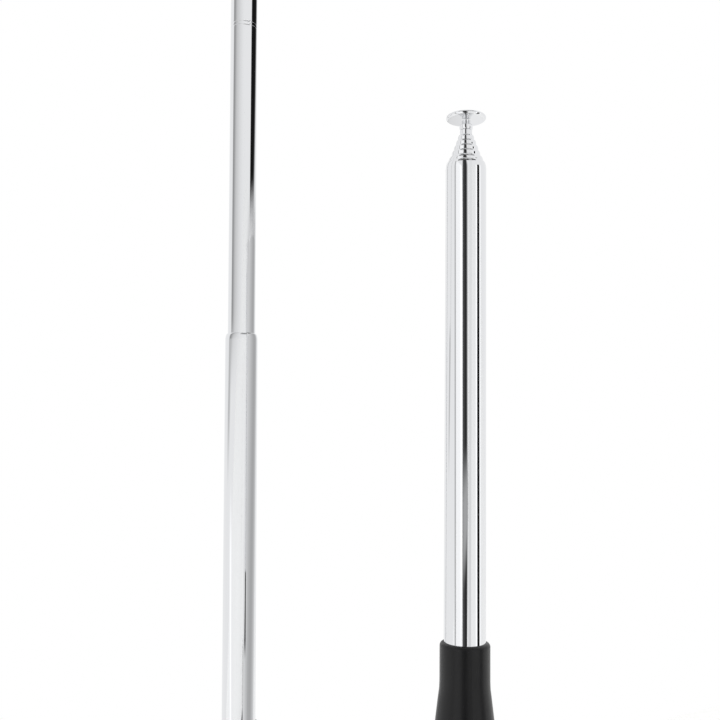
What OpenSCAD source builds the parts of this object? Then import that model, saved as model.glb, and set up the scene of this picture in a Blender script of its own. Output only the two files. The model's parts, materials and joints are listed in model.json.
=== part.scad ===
// Rabbit ears antenna: a weighted set-top base with two staggered swivel heads, each carrying
// a seven-section telescopic mast in a tapered moulded boot.
// Origin: centre of the foot pad's underside. +X runs from the left mast to the right one,
// +Y to the socket at the back, +Z up. All sizes are in millimetres and degrees.

/* [Base] */
// Length of the base, left to right
base_length = 150; // [140:1:200]
// Depth of the base, front to back
base_depth = 84; // [80:1:120]
// Height of the base's top above the table
base_height = 28; // [26:1:40]
// Radius of the rounding along the base's top edge
base_edge_r = 6; // [3:0.5:8]
// Thickness of the base shell's side wall
shell_wall = 2.5; // [2:0.1:4]
// Thickness of the base shell's top
shell_top = 3; // [2.5:0.1:4]
// Gap between the shell's lower rim and the table
rim_gap = 1; // [0.6:0.1:1.5]
// Thickness of the rubber foot pad
pad_thickness = 2; // [1.8:0.1:3]
// Thickness of the steel base plate
plate_thickness = 2; // [1:0.1:3]
// Height of the steel ballast slab
ballast_height = 8; // [5:0.5:9]

/* [Masts] */
// Distance between the two swivel axes, left to right
mast_spacing = 70; // [60:1:80]
// Distance between the two swivel axes, front to back, which lets the masts pass each other
mast_stagger = 12; // [11:0.5:16]
// Lean of the left mast from upright, towards the right
lean_left = 23.3; // [-80:0.1:28]
// Lean of the right mast from upright, towards the right
lean_right = 25; // [-28:0.1:80]
// How far each left section is drawn out of the one around it
draw_left = 105; // [0:1:105]
// How far each right section is drawn out of the one around it
draw_right = 0; // [0:1:105]
// Outside diameter of the outer tube
outer_tube_d = 8; // [6.8:0.1:9.6]
// Wall of the outer tube
outer_wall = 0.35; // [0.3:0.05:0.5]
// Radial gap between the outer tube's bore and the second section
outer_gap = 0.25; // [0.2:0.05:0.4]
// Radial gap between the second section's bore and the third section
second_gap = 0.4; // [0.2:0.05:0.4]
// Wall of the inner sections
inner_wall = 0.2; // [0.15:0.01:0.2]
// Radial gap between one inner section's bore and the next section
inner_gap = 0.2; // [0.15:0.01:0.22]
// Length of the outer tube that shows above the boot
tube_exposed = 93; // [70:1:140]
// How far each section's mouth stands above the mouth around it when pushed in
mouth_step = 1.1; // [0.8:0.1:2]
// Distance from the second section's mouth down to its pair of rolled grooves
groove_drop = 26.1; // [15:0.1:40]
// Diameter of the tip button
button_d = 7.9; // [6:0.1:10]

/* [Boot and hinge] */
// Distance from the hinge axis to the boot's rim
boot_rim = 50; // [40:1:70]
// Distance from the hinge axis to the boot's lower end
boot_foot = 10; // [9:0.5:14]
// Wall of the boot's straight collar round the outer tube
boot_wall = 0.8; // [0.7:0.05:1.2]
// Length of the boot's straight collar
boot_collar = 8; // [5:0.5:12]
// Half angle of the boot's taper below the collar
boot_taper = 6.9; // [6:0.1:8]
// Height of the hinge axis above the base's top
hinge_height = 15; // [14.5:0.5:20]
// Thickness of the knuckle's tongue
tongue_thickness = 5.8; // [5:0.1:7]
// Radius of the tongue's and the fork ears' round ends
hinge_eye_r = 6.5; // [5.5:0.1:7]
// Thickness of each fork ear
ear_thickness = 3.4; // [3.2:0.1:5]
// Diameter of the hinge screw's shank
hinge_screw_d = 3; // [2.5:0.1:3.6]
// Diameter of the swivel head's flange
flange_d = 28; // [26:1:34]
// Thickness of the swivel head's flange
flange_height = 3; // [2.5:0.5:4]
// Diameter of the stem that turns in the base
stem_d = 9; // [7.5:0.1:10.8]

/* [Socket] */
// Height of the aerial socket's axis above the table
socket_height = 14.5; // [13:0.5:15]
// Diameter of the socket's free thread
socket_d = 9.52; // [9:0.01:10]
// Length of the free thread beyond the nut
socket_free = 7.5; // [6:0.5:10]

/* [Hidden] */
$fn = 64;
SECTIONS = 7;
SIDES = ["left", "right"];
CHROME = [0.83, 0.84, 0.86];
BLACK_PLASTIC = [0.07, 0.07, 0.08];

// Clearances: face_gap between faces that turn on each other, run_gap round a shaft,
// slide_gap round a sliding bush, drop_gap round what drops into a moulding.
face_gap = 0.1;
run_gap = 0.05;
slide_gap = 0.03;
drop_gap = 0.4;

// Base
shell_foot = rim_gap;
top_inside = base_height - shell_top;
plate_z = pad_thickness;
ballast_z = plate_z + plate_thickness;
ballast_inset_x = 35;
ballast_inset_y = 13;
boss_d = 7;
boss_inset_x = 27;
boss_inset_y = 20;
plate_screw_d = 3;
plate_screw_head_d = 5.6;
plate_screw_head_h = 1.6;
plate_screw_length = 10;
access_d = 7;

// Board, its screws and the transformer on it
board_size = [44, 36, 1.6];
board_margin = 2;
board_y = board_size[1] / 2 - mast_stagger / 2 - board_margin;
board_z = 15.2;
board_post_x = 15;
board_post_d = 5;
board_screw_d = 2;
board_screw_head_d = 4;
board_screw_head_h = 1.4;
board_screw_length = 5;
core_size = [14, 8, 6.5];
core_bore_d = 3.4;
core_bore_spacing = 6.4;
core_y = board_y + 4;
lead_d = 1.4;
lead_x = 20;
solder_d = 2.4;
solder_h = 0.5;

// Socket
socket_bush_d = socket_d + 0.8;
socket_flange_d = 13;
socket_flange_h = 2;
socket_nut_af = 12.7;
socket_nut_h = 2.5;
socket_bore_d = 6.8;
socket_pin_d = 1;
socket_contact_d = 1.2;
socket_floor = 1.5;
back_inside = base_depth / 2 - shell_wall;
back_outside = base_depth / 2;
socket_end = back_outside + socket_nut_h + socket_free;

// Swivel head
fork_washer = 0.4;
fork_gap = tongue_thickness + 2 * (fork_washer + face_gap);
fork_outer = fork_gap / 2 + ear_thickness;
hinge_z = base_height + hinge_height;
flange_z = base_height + face_gap;
flange_top = flange_z + flange_height;
lug_thickness = 0.5;
lug_d = stem_d + 7;
lug_tab = mast_spacing / 2 - lug_d / 2 - lead_x + 1.5;
lug_tab_width = 4;
stem_foot = top_inside - lug_thickness - 2 * face_gap;
swivel_washer_d = stem_d + 6;
swivel_washer_h = 1;
swivel_screw_d = 4;
swivel_screw_head_d = 7.4;
swivel_screw_head_h = 2.4;
swivel_screw_length = 6;
hinge_head_d = hinge_screw_d + 2.6;
hinge_head_h = 1.7;
hinge_nut_af = hinge_screw_d + 2.5;
hinge_nut_h = 1.9;
hinge_washer_d = hinge_screw_d + 6;

// Knuckle and boot, measured along the mast from the hinge axis
knuckle_flange_d = 2 * norm([hinge_eye_r, tongue_thickness / 2]) + 0.4;
knuckle_flange_h = 3;
tube_foot = boot_foot + knuckle_flange_h;
spigot_length = 11;
boot_edge_r = 0.9;
boot_d = outer_tube_d + 2 * boot_wall;
boot_foot_d = boot_d + 2 * (boot_rim - boot_collar - boot_foot) * tan(boot_taper);

// Sections, numbered 1 for the outer tube to 7 for the innermost
outer_mouth = boot_rim + tube_exposed;
inner_foot = tube_foot + spigot_length + 2;
inner_length = outer_mouth + mouth_step - inner_foot;
bush_length = 5;
mouth_gap = 0.05;
mouth_land = 0.5;
outer_shoulder = 1.7;
second_shoulder = 1;
inner_shoulder = 0.6;
groove_width = 0.35;
groove_depth = 0.08;
groove_pitch = 0.9;

// Tip
tip_collar_d = section_d(SECTIONS) + 0.2;
tip_collar_h = 1.1;
tip_neck_d = section_d(SECTIONS) - 0.7;
tip_neck_h = 0.9;
button_h = 1.1;
tip_spigot_h = 4;

function section_d(i) =
    i == 1 ? outer_tube_d
    : section_d(i - 1) - 2 * (wall(i - 1) + gap(i));
function gap(i) = i == 2 ? outer_gap : i == 3 ? second_gap : inner_gap;
function wall(i) = i == 1 ? outer_wall : inner_wall;
function bore_d(i) = section_d(i) - 2 * wall(i);
function mouth_d(i) = section_d(i + 1) + 2 * mouth_gap;
function lip(i) = wall(i) / 2;
function shoulder(i) = i == 1 ? outer_shoulder : i == 2 ? second_shoulder : inner_shoulder;
function section_foot(i) = i == 1 ? tube_foot : inner_foot + (i - 2) * mouth_step;
function section_length(i) = i == 1 ? outer_mouth - tube_foot : inner_length;
function drawn(side, i) = (i - 1) * (side == 0 ? draw_left : draw_right);
function lean(side) = side == 0 ? lean_left : lean_right;
function hand(side) = side == 0 ? -1 : 1;
function swivel_x(side) = hand(side) * mast_spacing / 2;
function swivel_y(side) = hand(side) * mast_stagger / 2;
function arc(centre, r, from, to) =
    [for (k = [0:8]) let (a = from + (to - from) * k / 8) centre + r * [cos(a), sin(a)]];

BASE_NODES = [
    "foot_pad", "base_plate", "ballast_slab", "base_shell", "base_screws", "matching_board",
    "board_screws", "matching_core", "socket_body", "socket_insulator", "socket_nut"
];
SWIVEL_NODES = [
    "contact_lug", "lead_wire", "swivel_head", "swivel_washer", "swivel_screw",
    "hinge_screw", "hinge_nut", "hinge_washers", "knuckle", "boot"
];
SECTION_NODES = [for (i = [1:SECTIONS]) str("section_", i)];
BUSH_NODES = [for (i = [2:SECTIONS]) str("slide_bush_", i)];
MAST_NODES = concat(SWIVEL_NODES, SECTION_NODES, BUSH_NODES, ["tip_button"]);

// ---- Helpers ----

// The base's outline drawn in by inset all round: two half circles and a straight run
module stadium(inset, height, z) {
    end_x = (base_length - base_depth) / 2;
    translate([0, 0, z]) linear_extrude(height) {
        for (s = [-1, 1]) translate([s * end_x, 0]) circle(r = base_depth / 2 - inset);
        square([2 * end_x, base_depth - 2 * inset], center = true);
    }
}

// A solid with one section all round the base's outline, from a half profile of [radius, z]
module stadium_solid(profile) {
    end_x = (base_length - base_depth) / 2;
    for (s = [-1, 1]) translate([s * end_x, 0, 0]) rotate_extrude() polygon(profile);
    translate([-end_x, 0, 0]) rotate([90, 0, 90]) linear_extrude(2 * end_x)
        for (s = [0, 1]) mirror([s, 0]) polygon(profile);
}

// Repeats its children at the four plate screws
module at_bosses() {
    x = base_length / 2 - boss_inset_x;
    y = base_depth / 2 - boss_inset_y;
    for (sx = [-1, 1], sy = [-1, 1]) translate([sx * x, sy * y, 0]) children();
}

// Repeats its children at the two board screws
module at_board_posts() {
    for (s = [-1, 1]) translate([s * board_post_x, board_y, 0]) children();
}

// Moves its children to one side's swivel axis
module at_swivel(side) translate([swivel_x(side), swivel_y(side), 0]) children();

// Stands its children on one side's hinge axis, upright
module at_hinge(side) translate([swivel_x(side), swivel_y(side), hinge_z]) children();

// Leans its children with one side's mast
module on_mast(side) at_hinge(side) rotate([0, lean(side), 0]) children();

// A cylinder along Y between two distances from the hinge's middle
module across(d, from, to, sides = 64) {
    translate([0, to, 0]) rotate([90, 0, 0]) cylinder(d = d, h = to - from, $fn = sides);
}

// ---- Base ----

module foot_pad() {
    color([0.12, 0.12, 0.12]) difference() {
        stadium(shell_wall + drop_gap, pad_thickness, 0);
        at_bosses() translate([0, 0, -1]) cylinder(d = access_d, h = pad_thickness + 2);
    }
}

module base_plate() {
    color("silver") difference() {
        stadium(shell_wall + drop_gap, plate_thickness, plate_z);
        at_bosses() translate([0, 0, plate_z - 1])
            cylinder(d = plate_screw_d + 2 * run_gap, h = plate_thickness + 2);
    }
}

module ballast_slab() {
    length = base_length - 2 * ballast_inset_x;
    depth = base_depth - 2 * ballast_inset_y;
    color("dimgray") translate([-length / 2, -depth / 2, ballast_z])
        cube([length, depth, ballast_height]);
}

module base_shell() {
    r = base_depth / 2;
    edge = [r - base_edge_r, base_height - base_edge_r];
    inner_r = r - shell_wall;
    inner_edge_r = max(base_edge_r - shell_wall, 0.5);
    inner_edge = [inner_r - inner_edge_r, top_inside - inner_edge_r];
    outside = concat([[0, shell_foot], [r, shell_foot]], arc(edge, base_edge_r, 0, 90),
        [[0, base_height]]);
    inside = concat([[0, shell_foot - 1], [inner_r, shell_foot - 1]],
        arc(inner_edge, inner_edge_r, 0, 90), [[0, top_inside]]);
    color(BLACK_PLASTIC) difference() {
        union() {
            difference() {
                stadium_solid(outside);
                stadium_solid(inside);
            }
            at_bosses() translate([0, 0, ballast_z])
                cylinder(d = boss_d, h = top_inside - ballast_z + 1);
            at_board_posts() translate([0, 0, board_z + board_size[2]])
                cylinder(d = board_post_d, h = top_inside - board_z - board_size[2] + 1);
        }
        at_bosses() translate([0, 0, ballast_z - 1])
            cylinder(d = plate_screw_d, h = plate_screw_length + 1);
        at_board_posts() translate([0, 0, board_z])
            cylinder(d = board_screw_d, h = board_screw_length);
        for (side = [0, 1]) at_swivel(side) translate([0, 0, top_inside - 1])
            cylinder(d = stem_d + 2 * run_gap, h = shell_top + 2);
        translate([0, back_outside + 1, socket_height]) rotate([90, 0, 0])
            cylinder(d = socket_bush_d + 2 * run_gap, h = shell_wall + 2);
    }
}

module base_screws() {
    color("silver") at_bosses() {
        translate([0, 0, plate_z - plate_screw_head_h])
            cylinder(d = plate_screw_head_d, h = plate_screw_head_h);
        translate([0, 0, plate_z]) cylinder(d = plate_screw_d, h = plate_screw_length);
    }
}

module matching_board() {
    color([0.15, 0.35, 0.2]) difference() {
        translate([-board_size[0] / 2, board_y - board_size[1] / 2, board_z]) cube(board_size);
        at_board_posts() translate([0, 0, board_z - 1])
            cylinder(d = board_screw_d + 2 * run_gap, h = board_size[2] + 2);
    }
}

module board_screws() {
    color("silver") at_board_posts() {
        translate([0, 0, board_z - board_screw_head_h])
            cylinder(d = board_screw_head_d, h = board_screw_head_h);
        translate([0, 0, board_z]) cylinder(d = board_screw_d, h = board_screw_length);
    }
}

module matching_core() {
    color([0.2, 0.2, 0.22]) difference() {
        translate([-core_size[0] / 2, core_y - core_size[1] / 2, board_z + board_size[2]])
            cube(core_size);
        for (s = [-1, 1])
            translate([s * core_bore_spacing / 2, core_y,
                board_z + board_size[2] + core_size[2] / 2])
                across(core_bore_d, -core_size[1] / 2 - 1, core_size[1] / 2 + 1);
    }
}

module socket_body() {
    color("gainsboro") translate([0, 0, socket_height]) difference() {
        union() {
            across(socket_flange_d, back_inside - socket_flange_h, back_inside);
            across(socket_bush_d, back_inside - 1, back_outside + socket_nut_h);
            across(socket_d, back_outside, socket_end);
        }
        across(socket_bore_d, back_inside + socket_floor, socket_end + 1);
        across(socket_contact_d + 1, back_inside - socket_flange_h - 1, back_inside + 2);
    }
}

module socket_insulator() {
    foot = back_inside - socket_flange_h;
    color("white") translate([0, 0, socket_height]) difference() {
        union() {
            across(socket_bore_d, back_inside + socket_floor, socket_end - 1);
            across(socket_contact_d + 1, foot, back_inside + socket_floor + 1);
            across(socket_pin_d, foot - 7, foot + 1);
        }
        across(socket_contact_d, back_outside, socket_end);
    }
}

module socket_nut() {
    color("silver") translate([0, 0, socket_height]) difference() {
        across(socket_nut_af / cos(30), back_outside, back_outside + socket_nut_h, 6);
        across(socket_bush_d, back_outside - 1, back_outside + socket_nut_h + 1);
    }
}

// ---- One side's swivel ----

module contact_lug(side) {
    z = top_inside - lug_thickness;
    color("goldenrod") at_swivel(side) difference() {
        union() {
            translate([0, 0, z]) cylinder(d = lug_d, h = lug_thickness);
            translate([-hand(side) * (lug_d / 2 + lug_tab / 2 - 0.5), 0, z + lug_thickness / 2])
                cube([lug_tab + 1, lug_tab_width, lug_thickness], center = true);
        }
        translate([0, 0, z - 1]) cylinder(d = stem_d + 4 * run_gap, h = lug_thickness + 2);
    }
}

// A straight lead between the board and the lug's tab, soldered at both ends
module lead_wire(side) {
    foot = board_z + board_size[2];
    top = top_inside - lug_thickness;
    color("firebrick") translate([hand(side) * lead_x, swivel_y(side), 0]) {
        translate([0, 0, foot]) cylinder(d = lead_d, h = top - foot);
        for (z = [foot, top - solder_h])
            translate([0, 0, z]) cylinder(d = solder_d, h = solder_h);
    }
}

module swivel_head(side) {
    flange_r = flange_d / 2;
    edge_r = 1.2;
    rim = concat([[0, flange_z], [flange_r, flange_z]],
        arc([flange_r - edge_r, flange_top - edge_r], edge_r, 0, 90), [[0, flange_top]]);
    color(BLACK_PLASTIC) at_swivel(side) difference() {
        union() {
            rotate_extrude() polygon(rim);
            translate([0, 0, stem_foot]) cylinder(d = stem_d, h = flange_top - stem_foot - 1);
            for (s = [0, 1]) mirror([0, s, 0]) translate([0, 0, hinge_z]) {
                across(2 * hinge_eye_r, fork_gap / 2, fork_outer);
                translate([-hinge_eye_r, fork_gap / 2, flange_top - hinge_z - 1])
                    cube([2 * hinge_eye_r, ear_thickness, hinge_z - flange_top + 1]);
            }
        }
        translate([0, 0, hinge_z]) {
            across(hinge_screw_d + 2 * run_gap, -fork_outer - 1, fork_outer + 1);
            across(hinge_head_d + 2 * run_gap, -fork_outer - 1, hinge_head_h - fork_outer);
            across((hinge_nut_af + 2 * run_gap) / cos(30), fork_outer - hinge_nut_h,
                fork_outer + 1, 6);
        }
        translate([0, 0, stem_foot - 1]) cylinder(d = swivel_screw_d, h = swivel_screw_length + 1);
    }
}

module swivel_washer(side) {
    color("silver") at_swivel(side) translate([0, 0, stem_foot - swivel_washer_h])
        difference() {
            cylinder(d = swivel_washer_d, h = swivel_washer_h);
            translate([0, 0, -1])
                cylinder(d = swivel_screw_d + 2 * run_gap, h = swivel_washer_h + 2);
        }
}

module swivel_screw(side) {
    head_z = stem_foot - swivel_washer_h - swivel_screw_head_h;
    color("silver") at_swivel(side) {
        translate([0, 0, head_z]) cylinder(d = swivel_screw_head_d, h = swivel_screw_head_h);
        translate([0, 0, head_z + swivel_screw_head_h - 0.2])
            cylinder(d = swivel_screw_d, h = swivel_washer_h + swivel_screw_length);
    }
}

module hinge_screw(side) {
    color(CHROME) at_hinge(side) {
        across(hinge_head_d, -fork_outer, hinge_head_h - fork_outer);
        across(hinge_screw_d, hinge_head_h - fork_outer - 0.2, fork_outer);
    }
}

module hinge_nut(side) {
    color(CHROME) at_hinge(side) difference() {
        across(hinge_nut_af / cos(30), fork_outer - hinge_nut_h, fork_outer, 6);
        across(hinge_screw_d, 0, fork_outer + 1);
    }
}

module hinge_washers(side) {
    near = fork_gap / 2 - fork_washer;
    color("silver") at_hinge(side) for (s = [0, 1]) mirror([0, s, 0]) difference() {
        across(hinge_washer_d, near, near + fork_washer);
        across(hinge_screw_d + 2 * run_gap, near - 1, near + fork_washer + 1);
    }
}

// ---- One side's mast ----

module knuckle(side) {
    color(CHROME) on_mast(side) difference() {
        union() {
            across(2 * hinge_eye_r, -tongue_thickness / 2, tongue_thickness / 2);
            translate([-hinge_eye_r, -tongue_thickness / 2, 0])
                cube([2 * hinge_eye_r, tongue_thickness, boot_foot + 1]);
            translate([0, 0, boot_foot]) cylinder(d = knuckle_flange_d, h = knuckle_flange_h);
            translate([0, 0, boot_foot]) cylinder(d = bore_d(1) - 2 * slide_gap,
                h = knuckle_flange_h + spigot_length);
        }
        across(hinge_screw_d + 2 * run_gap, -tongue_thickness, tongue_thickness);
    }
}

module boot(side) {
    collar_r = boot_d / 2;
    foot_r = boot_foot_d / 2;
    bore_r = outer_tube_d / 2 + 0.02;
    recess_r = knuckle_flange_d / 2 + run_gap;
    rim = [collar_r - boot_edge_r / 2, boot_rim - boot_edge_r / 2];
    outline = concat(
        [[recess_r, boot_foot], [foot_r - 0.8, boot_foot], [foot_r, boot_foot + 0.8]],
        [[collar_r, boot_rim - boot_collar]],
        arc(rim, boot_edge_r / 2, 0, 90),
        [[bore_r, boot_rim], [bore_r, tube_foot], [recess_r, tube_foot]]
    );
    color(BLACK_PLASTIC) on_mast(side) rotate_extrude() polygon(outline);
}

// One telescopic section, numbered from 1 at the outside: its mouth is swaged in over the next
module section(side, i) {
    r = section_d(i) / 2;
    length = section_length(i);
    bore_r = bore_d(i) / 2;
    mouth_r = i == SECTIONS ? bore_r : mouth_d(i) / 2;
    lip_r = i == SECTIONS ? r - 0.1 : mouth_r + lip(i);
    rise = i == SECTIONS ? 0.2 : shoulder(i);
    swage = [for (a = [0:15:90]) [lip_r + (r - lip_r) * cos(a), length - rise * (1 - sin(a))]];
    outline = concat(
        [[bore_r, 0], [r, 0]], swage,
        [[mouth_r, length], [mouth_r, length - mouth_land], [bore_r, length - rise - wall(i)]]
    );
    color(CHROME) on_mast(side) translate([0, 0, section_foot(i) + drawn(side, i)])
        difference() {
            rotate_extrude() polygon(outline);
            if (i == 2) for (k = [0, 1])
                translate([0, 0, length - groove_drop - k * groove_pitch]) difference() {
                    cylinder(r = r + 1, h = groove_width);
                    translate([0, 0, -1]) cylinder(r = r - groove_depth, h = groove_width + 2);
                }
        }
}

// The split ring at a section's foot that rubs in the bore around it
module slide_bush(side, i) {
    color("goldenrod") on_mast(side) translate([0, 0, section_foot(i) + drawn(side, i)])
        difference() {
            cylinder(d = bore_d(i - 1) - 2 * slide_gap, h = bush_length);
            translate([0, 0, -1]) cylinder(d = section_d(i), h = bush_length + 2);
        }
}

module tip_button(side) {
    seat = section_foot(SECTIONS) + section_length(SECTIONS) + drawn(side, SECTIONS);
    collar_r = tip_collar_d / 2;
    neck_z = tip_collar_h + tip_neck_h;
    edge_r = button_h / 2;
    button_r = button_d / 2;
    outline = concat(
        [[0, -tip_spigot_h], [bore_d(SECTIONS) / 2 - slide_gap, -tip_spigot_h]],
        [[bore_d(SECTIONS) / 2 - slide_gap, 0], [collar_r - 0.3, 0], [collar_r, 0.3]],
        [[collar_r, tip_collar_h - 0.2], [collar_r - 0.2, tip_collar_h]],
        [[tip_neck_d / 2, tip_collar_h], [tip_neck_d / 2, neck_z]],
        arc([button_r - edge_r, neck_z + edge_r], edge_r, -90, 90),
        [[0, neck_z + button_h]]
    );
    color(CHROME) on_mast(side) translate([0, 0, seat]) rotate_extrude() polygon(outline);
}

// ---- Assembly ----

foot_pad();
base_plate();
ballast_slab();
base_shell();
base_screws();
matching_board();
board_screws();
matching_core();
socket_body();
socket_insulator();
socket_nut();
for (side = [0, 1]) {
    contact_lug(side);
    lead_wire(side);
    swivel_head(side);
    swivel_washer(side);
    swivel_screw(side);
    hinge_screw(side);
    hinge_nut(side);
    hinge_washers(side);
    knuckle(side);
    boot(side);
    for (i = [1:SECTIONS])
        section(side, i);
    for (i = [2:SECTIONS])
        slide_bush(side, i);
    tip_button(side);
}
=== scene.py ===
import json
import logging
import math
from collections.abc import Callable, Iterable
from dataclasses import dataclass, field
from enum import Enum
from itertools import pairwise
from typing import Any

import bmesh
import bpy
from bpy.types import Material, Node, NodeSocket, NodeTree, Object
from mathutils import Matrix, Vector


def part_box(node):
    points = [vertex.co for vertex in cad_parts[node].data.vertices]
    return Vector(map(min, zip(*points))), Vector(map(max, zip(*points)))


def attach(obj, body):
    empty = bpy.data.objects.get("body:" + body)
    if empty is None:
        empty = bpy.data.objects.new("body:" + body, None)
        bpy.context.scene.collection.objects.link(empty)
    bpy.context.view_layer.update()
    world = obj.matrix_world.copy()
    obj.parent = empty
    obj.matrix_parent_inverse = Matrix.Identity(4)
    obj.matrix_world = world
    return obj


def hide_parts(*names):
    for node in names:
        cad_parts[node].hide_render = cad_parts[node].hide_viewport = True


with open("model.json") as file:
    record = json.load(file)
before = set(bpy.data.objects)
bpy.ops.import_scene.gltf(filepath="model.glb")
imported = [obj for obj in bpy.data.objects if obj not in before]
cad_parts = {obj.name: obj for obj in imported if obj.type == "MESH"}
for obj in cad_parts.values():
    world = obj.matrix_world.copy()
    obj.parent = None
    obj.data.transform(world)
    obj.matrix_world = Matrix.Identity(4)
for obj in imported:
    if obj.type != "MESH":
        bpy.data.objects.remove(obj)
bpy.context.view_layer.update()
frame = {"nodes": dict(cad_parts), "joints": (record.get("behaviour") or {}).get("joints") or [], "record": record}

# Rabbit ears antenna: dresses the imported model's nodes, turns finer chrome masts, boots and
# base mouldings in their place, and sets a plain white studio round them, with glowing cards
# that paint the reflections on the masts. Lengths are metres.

LOG = logging.getLogger("rabbit_ears")
MM = 0.001
SECTIONS = 7
ROUND = 96
GROOVE_STEPS = 12
# Handling and wear come in patches about this wide.
HAZE_MM = 9.0
# Points closer than this, in metres, are the same point.
TINY = 0.001 * MM

Outline = list[tuple[float, float]]


class Side(Enum):
    """The two masts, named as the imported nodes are."""

    LEFT = "left"
    RIGHT = "right"

    @property
    def other(self) -> "Side":
        """The mast across the base."""
        return Side.RIGHT if self is Side.LEFT else Side.LEFT


# ---- Colour and shader nodes ----


def linear(hex_colour: str) -> tuple[float, float, float, float]:
    """Turns an sRGB hex colour into Blender's linear colour.

    Args:
        hex_colour: Six hex digits after a hash.

    Returns:
        Red, green, blue and a full alpha.
    """
    digits = hex_colour.lstrip("#")
    parts = [int(digits[k : k + 2], 16) / 255 for k in (0, 2, 4)]
    bent = [p / 12.92 if p <= 0.04045 else ((p + 0.055) / 1.055) ** 2.4 for p in parts]
    return (*bent, 1.0)


def add_node(
    tree: NodeTree,
    kind: str,
    settings: dict[str, Any] | None = None,
    links: dict[str | int, NodeSocket] | None = None,
) -> Node:
    """Adds one shader node.

    Args:
        tree: The node tree to add to.
        kind: The node's class name.
        settings: Values by property name, or by input name.
        links: The sockets that feed its inputs, by input name or number.

    Returns:
        The new node.
    """
    node = tree.nodes.new(kind)
    for key, value in (settings or {}).items():
        if hasattr(node, key):
            setattr(node, key, value)
        else:
            node.inputs[key].default_value = value
    for key, socket in (links or {}).items():
        tree.links.new(socket, node.inputs[key])
    return node


def blank_material(name: str) -> Material:
    """Starts a material with an empty node tree.

    Args:
        name: Its name.

    Returns:
        The material.
    """
    material = bpy.data.materials.new(name)
    material.use_nodes = True
    material.node_tree.nodes.clear()
    return material


@dataclass(frozen=True)
class Finish:
    """One surface finish, with its colour and the size of its grain.

    Attributes:
        name: The material's name.
        colour: Its sRGB hex colour.
        roughness: The lowest roughness, on the cleanest part of the surface.
        haze: How much rougher the most handled or most worn part is.
        grain_mm: Width of one grain, scratch or spark pit.
        relief_mm: Height of the grain.
    """

    name: str
    colour: str
    roughness: float
    haze: float = 0.05
    grain_mm: float = 0.15
    relief_mm: float = 0.002

    def place_pattern(self, tree: NodeTree, size_mm: float) -> NodeSocket:
        """Gives coordinates in grains, the same all ways.

        Args:
            tree: The material's node tree.
            size_mm: The length that becomes one unit.

        Returns:
            The vector socket for a texture.
        """
        coords = add_node(tree, "ShaderNodeTexCoord")
        scale = (1 / (size_mm * MM),) * 3
        mapping = add_node(
            tree, "ShaderNodeMapping", {"Scale": scale}, {"Vector": coords.outputs["Object"]}
        )
        return mapping.outputs["Vector"]

    def shader_values(self) -> dict[str, Any]:
        """The shader sockets that are the same all over."""
        return {"Base Color": linear(self.colour)}

    def build(self) -> Material:
        """Makes the material: fine grain in the bump, broad haze in the roughness.

        Returns:
            The finished material.
        """
        material = blank_material(self.name)
        material.diffuse_color = linear(self.colour)
        tree = material.node_tree
        grain = add_node(
            tree,
            "ShaderNodeTexNoise",
            {"Scale": 1.0, "Detail": 3.0, "Roughness": 0.55},
            {"Vector": self.place_pattern(tree, self.grain_mm)},
        )
        haze = add_node(
            tree,
            "ShaderNodeTexNoise",
            {"Scale": 1.0, "Detail": 4.0, "Roughness": 0.6},
            {"Vector": self.place_pattern(tree, HAZE_MM)},
        )
        rough = add_node(
            tree,
            "ShaderNodeMapRange",
            {
                "From Min": 0.35,
                "From Max": 0.75,
                "To Min": self.roughness,
                "To Max": self.roughness + self.haze,
            },
            {"Value": haze.outputs["Fac"]},
        )
        bump = add_node(
            tree,
            "ShaderNodeBump",
            {"Strength": 1.0, "Distance": self.relief_mm * MM},
            {"Height": grain.outputs["Fac"]},
        )
        shader = add_node(
            tree,
            "ShaderNodeBsdfPrincipled",
            self.shader_values(),
            {"Roughness": rough.outputs["Result"], "Normal": bump.outputs["Normal"]},
        )
        add_node(tree, "ShaderNodeOutputMaterial", None, {"Surface": shader.outputs["BSDF"]})
        return material


@dataclass(frozen=True)
class DrawnMetal(Finish):
    """Plated or bare metal whose fine marks run along one axis, as drawing or rolling leaves.

    Attributes:
        lean: Angle of that axis from upright, towards +X.
        run: How many times longer than wide each mark is.
    """

    lean: float = 0.0
    run: float = 60.0

    def place_pattern(self, tree: NodeTree, size_mm: float) -> NodeSocket:
        """Gives coordinates stretched along the axis.

        Args:
            tree: The material's node tree.
            size_mm: Width of one mark.

        Returns:
            The vector socket for a texture.
        """
        coords = add_node(tree, "ShaderNodeTexCoord")
        turned = add_node(
            tree,
            "ShaderNodeVectorRotate",
            {"rotation_type": "Y_AXIS", "Angle": -self.lean},
            {"Vector": coords.outputs["Object"]},
        )
        across = 1 / (size_mm * MM)
        mapping = add_node(
            tree,
            "ShaderNodeMapping",
            {"Scale": (across, across, across / self.run)},
            {"Vector": turned.outputs["Vector"]},
        )
        return mapping.outputs["Vector"]

    def shader_values(self) -> dict[str, Any]:
        """The shader sockets that are the same all over."""
        return {"Base Color": linear(self.colour), "Metallic": 1.0}


@dataclass(frozen=True)
class MouldedPlastic(Finish):
    """Moulded or cast non-metal, with the grain of its mould.

    Attributes:
        ior: Index of refraction, which sets how strong its gloss is.
    """

    ior: float = 1.5

    def shader_values(self) -> dict[str, Any]:
        """The shader sockets that are the same all over."""
        return {"Base Color": linear(self.colour), "IOR": self.ior}


# ---- Modelling by hand-style operators ----


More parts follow.
